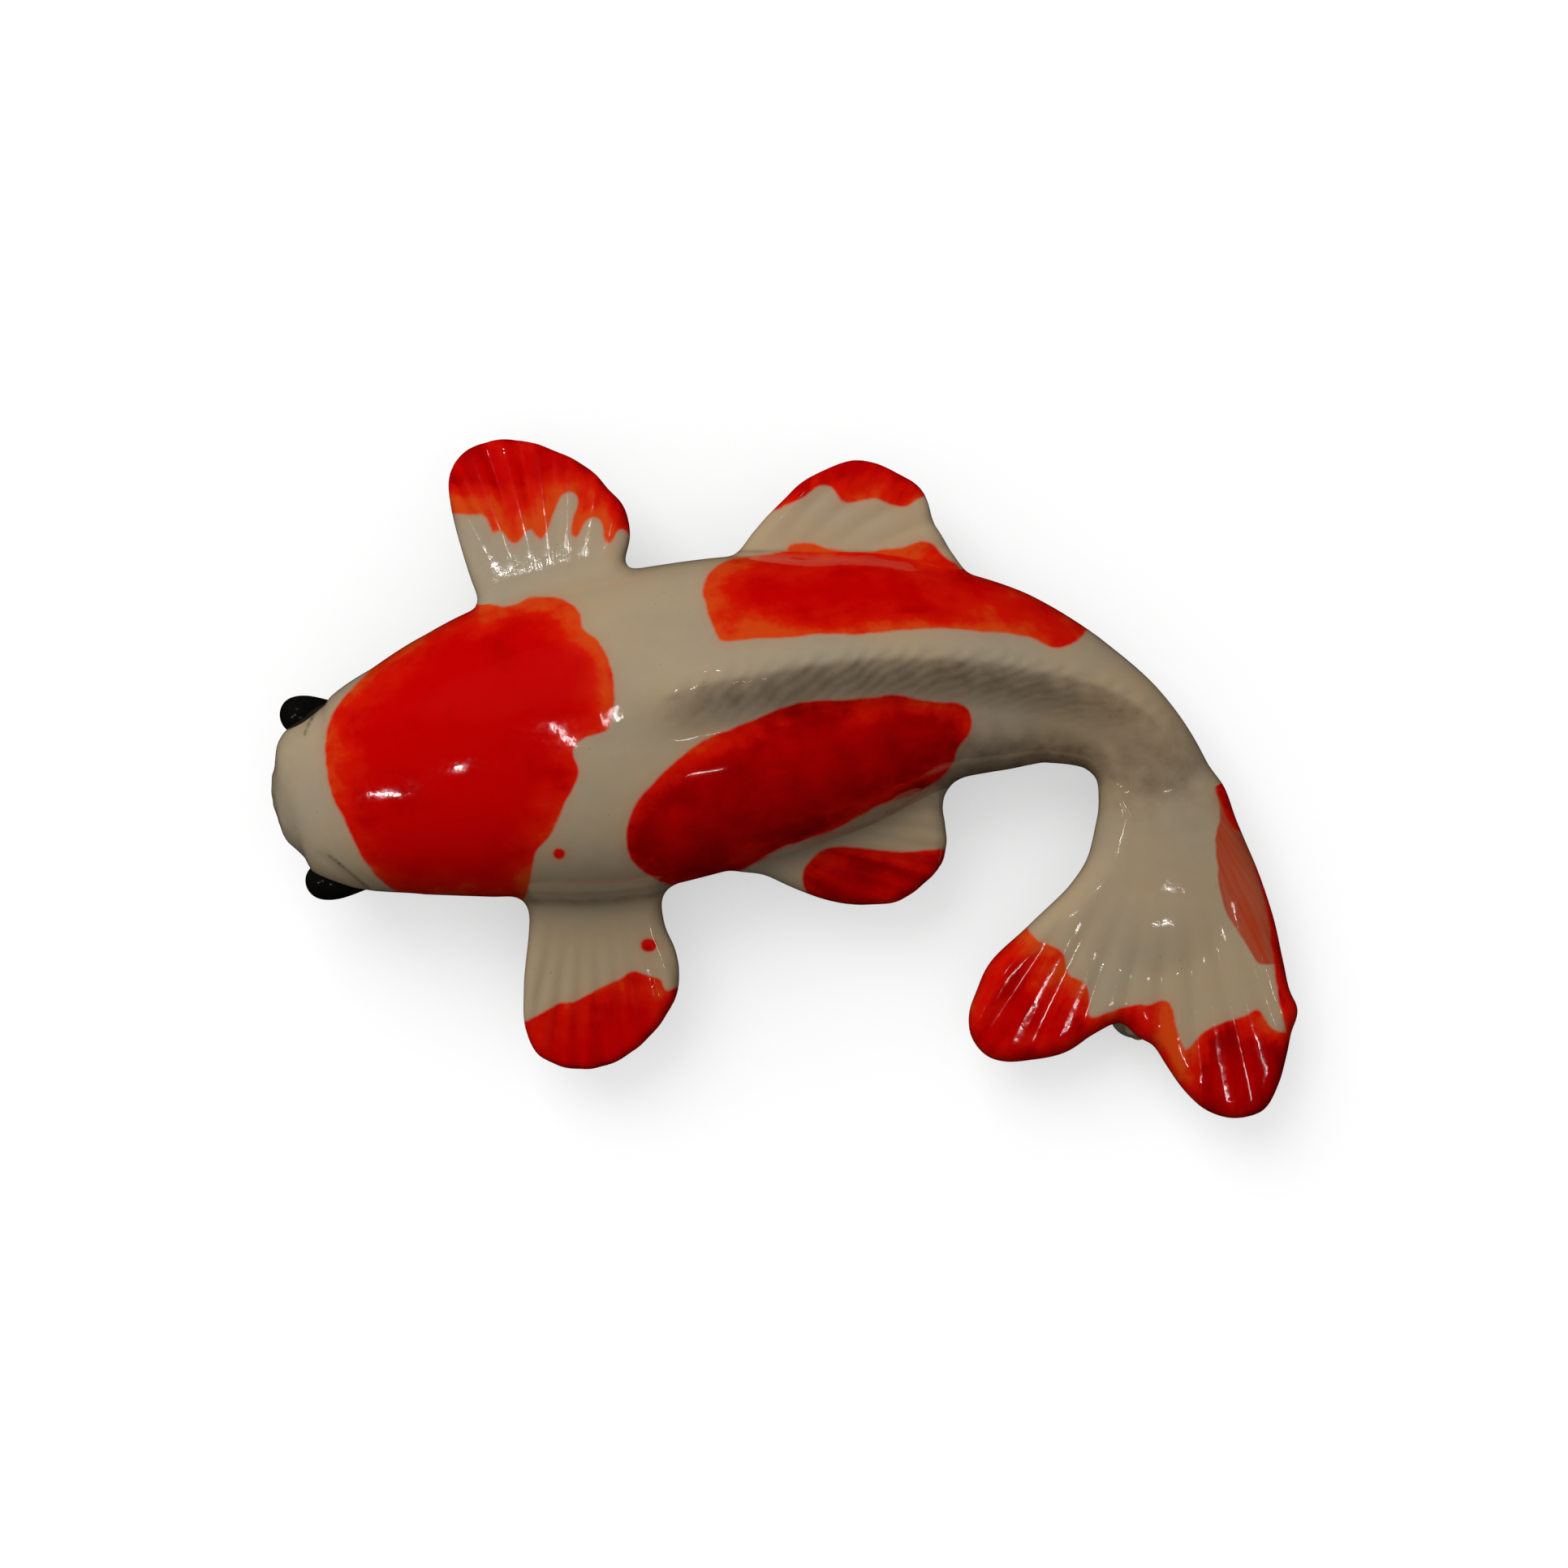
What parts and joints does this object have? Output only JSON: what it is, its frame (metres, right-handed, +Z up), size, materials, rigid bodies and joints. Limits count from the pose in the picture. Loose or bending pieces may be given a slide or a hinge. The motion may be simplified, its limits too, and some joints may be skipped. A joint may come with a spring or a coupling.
{
  "type": "fish figurine",
  "caption": "Free-standing glazed ceramic koi with a curved body, raised dorsal ridge, spread fins and a flat-laid notched tail.",
  "frame": {"origin": "middle of the outline seen from above, on the surface that the figurine stands on", "axes": "+Z up, snout towards -X, +X along the longest extent, the fish's right side towards +Y"},
  "size_m": [0.1512, 0.1008, 0.0383],
  "materials": {
    "body_glaze": "glossy clear glaze over warm white, with brushed red and orange patches",
    "ridge_glaze": "glossy clear glaze over warm white, darker where it pools between the rays",
    "fin_glaze": "glossy clear glaze over warm white, with brushed red tips",
    "peg_glaze": "thin warm white glaze",
    "eye_glaze": "thick glossy black glaze"
  },
  "bodies": {
    "root": {"back_shell": "body_glaze", "belly_shell": "body_glaze", "dorsal_fin": "ridge_glaze", "right_pectoral_fin": "fin_glaze", "left_pectoral_fin": "fin_glaze", "right_pelvic_fin": "fin_glaze", "left_pelvic_fin": "fin_glaze", "tail_fin": "fin_glaze", "tail_peg": "peg_glaze", "right_eye": "eye_glaze", "left_eye": "eye_glaze"}
  },
  "joints": []
}
